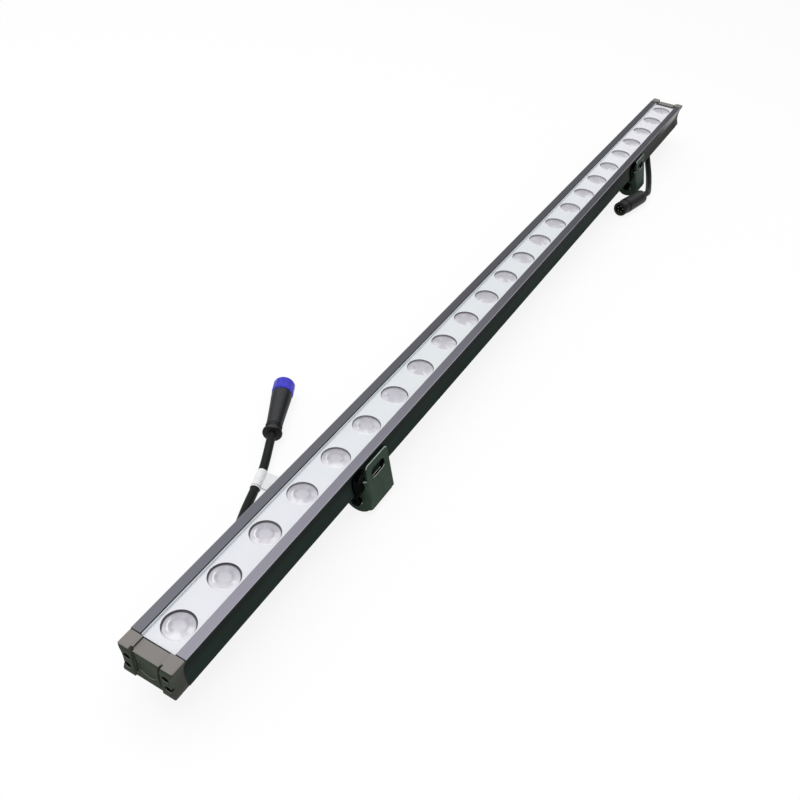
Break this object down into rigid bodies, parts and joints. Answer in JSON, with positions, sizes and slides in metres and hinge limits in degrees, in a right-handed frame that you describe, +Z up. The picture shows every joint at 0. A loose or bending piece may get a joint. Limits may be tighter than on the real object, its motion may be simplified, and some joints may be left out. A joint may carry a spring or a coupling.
{
  "type": "outdoor wall washer light",
  "caption": "Slim bar-shaped outdoor wall washer light with a row of lenses under glass, two folding foot brackets and a plug and socket on short cables.",
  "frame": {"origin": "middle of the lamp's footprint, at the level of the lowest points of its two folded foot brackets", "axes": "+X along the lamp from the plug's end to the socket's end, +Y towards the side away from the foot plates, +Z up, out of the cover glass"},
  "size_m": [1, 0.1585, 0.0521],
  "materials": {
    "body_coat": "satin powder coat",
    "cap_coat": "satin",
    "glass": "clear",
    "seal": "matt",
    "clear_seal": "translucent",
    "white_plate": "white",
    "lens": "frosted clear",
    "led": "matt",
    "board_white": "white board lacquer",
    "board_green": "green board lacquer",
    "board_parts": "matt",
    "wire": "matt",
    "steel": "bright",
    "black_steel": "black, satin",
    "bracket_coat": "satin powder coat",
    "black_plastic": "matt",
    "cable_jacket": "matt",
    "blue_ring": "semi gloss",
    "insert": "matt",
    "contact": "bright",
    "label": "white film"
  },
  "bodies": {
    "lamp": {"housing": "body_coat", "cover_glass": "glass", "cover_seals": "clear_seal", "lens_plate": "white_plate", "lenses": "lens", "leds": "led", "led_board": "board_white", "board_screws": "steel", "control_board": "board_green", "control_parts": "board_parts", "lead_wires": "wire", "near_end_cap": "cap_coat", "far_end_cap": "cap_coat", "near_gasket": "seal", "far_gasket": "seal", "end_screws": "black_steel", "near_outlet": "black_plastic", "far_outlet": "black_plastic", "outlet_screws": "steel", "near_gland_nut": "black_plastic", "far_gland_nut": "black_plastic", "near_strain_relief": "cable_jacket", "far_strain_relief": "cable_jacket", "near_cable": "cable_jacket", "far_cable": "cable_jacket", "flag_label": "label", "plug_body": "black_plastic", "plug_insert": "insert", "plug_seal": "seal", "socket_body": "black_plastic", "socket_insert": "insert", "socket_pins": "contact", "socket_seal": "seal", "near_clamp": "black_steel", "far_clamp": "black_steel", "clamp_screws": "black_steel", "pivot_screws": "black_steel", "pivot_washers": "steel", "pivot_nuts": "steel"},
    "near_foot": {"near_foot": "bracket_coat"},
    "far_foot": {"far_foot": "bracket_coat"},
    "ring": {"coupling_ring": "blue_ring"}
  },
  "joints": [
    {"name": "near_foot_turn", "type": "hinge", "parent": "lamp", "child": "near_foot", "pos_m": [-0.3025, -0.013, 0.012], "axis": [1, 0, 0], "range_deg": [0, 180]},
    {"name": "far_foot_turn", "type": "hinge", "parent": "lamp", "child": "far_foot", "pos_m": [0.3095, -0.013, 0.012], "axis": [1, 0, 0], "range_deg": [0, 70]},
    {"name": "ring_turn", "type": "hinge", "parent": "lamp", "child": "ring", "pos_m": [-0.22998, 0.10544, 0.009], "axis": [0.8949, 0.4462, 0], "continuous": true}
  ]
}
